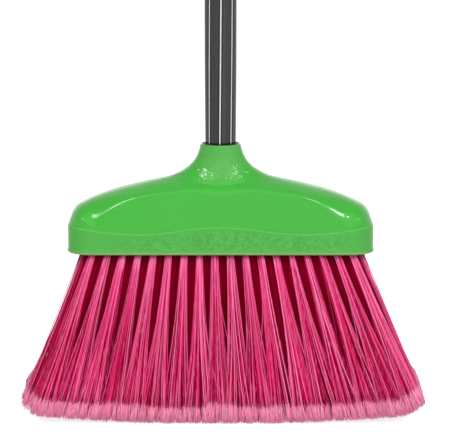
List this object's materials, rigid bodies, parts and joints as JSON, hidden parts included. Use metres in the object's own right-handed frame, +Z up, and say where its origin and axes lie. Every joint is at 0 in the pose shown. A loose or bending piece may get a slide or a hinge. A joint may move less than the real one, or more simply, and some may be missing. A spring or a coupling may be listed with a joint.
{
  "type": "broom",
  "caption": "Household broom: a waved green head cover over fanned rows of pink bristle tufts, and a dark pinstriped handle that screws into its neck, with a hanging hole at the top.",
  "frame": {"origin": "centre of the bristle tips, on the floor that the upright broom stands on", "axes": "+Z up along the handle, +X along the head, +Y through the head from front to back"},
  "size_m": [0.2829, 0.0788, 1.346],
  "materials": {
    "green_plastic": "gloss",
    "pink_bristle": "satin",
    "anchor_steel": "brushed",
    "black_plastic": "satin",
    "stick_wood": "sanded",
    "grey_film": "satin"
  },
  "bodies": {
    "head": {"head_cover": "green_plastic", "tuft_block": "green_plastic", "tuft_anchors": "anchor_steel", "bristle_row_1": "pink_bristle", "bristle_row_2": "pink_bristle", "bristle_row_3": "pink_bristle", "bristle_row_4": "pink_bristle", "bristle_row_5": "pink_bristle"},
    "ferrule": {"threaded_ferrule": "black_plastic"},
    "handle": {"handle_stick": "stick_wood", "handle_film": "grey_film", "hanger_cap": "black_plastic"}
  },
  "joints": [
    {"name": "handle_rise", "type": "slide", "parent": "head", "child": "ferrule", "axis": [0, 0, 1], "range_m": [0, 0.035]},
    {"name": "handle_twist", "type": "hinge", "parent": "ferrule", "child": "handle", "pos_m": [0, 0, 0.2], "axis": [0, 0, 1], "range_deg": [0, 2520]}
  ],
  "couplings": [
    {"joint": "handle_rise", "follows": "handle_twist", "m_per_rad": 0.00079577}
  ]
}
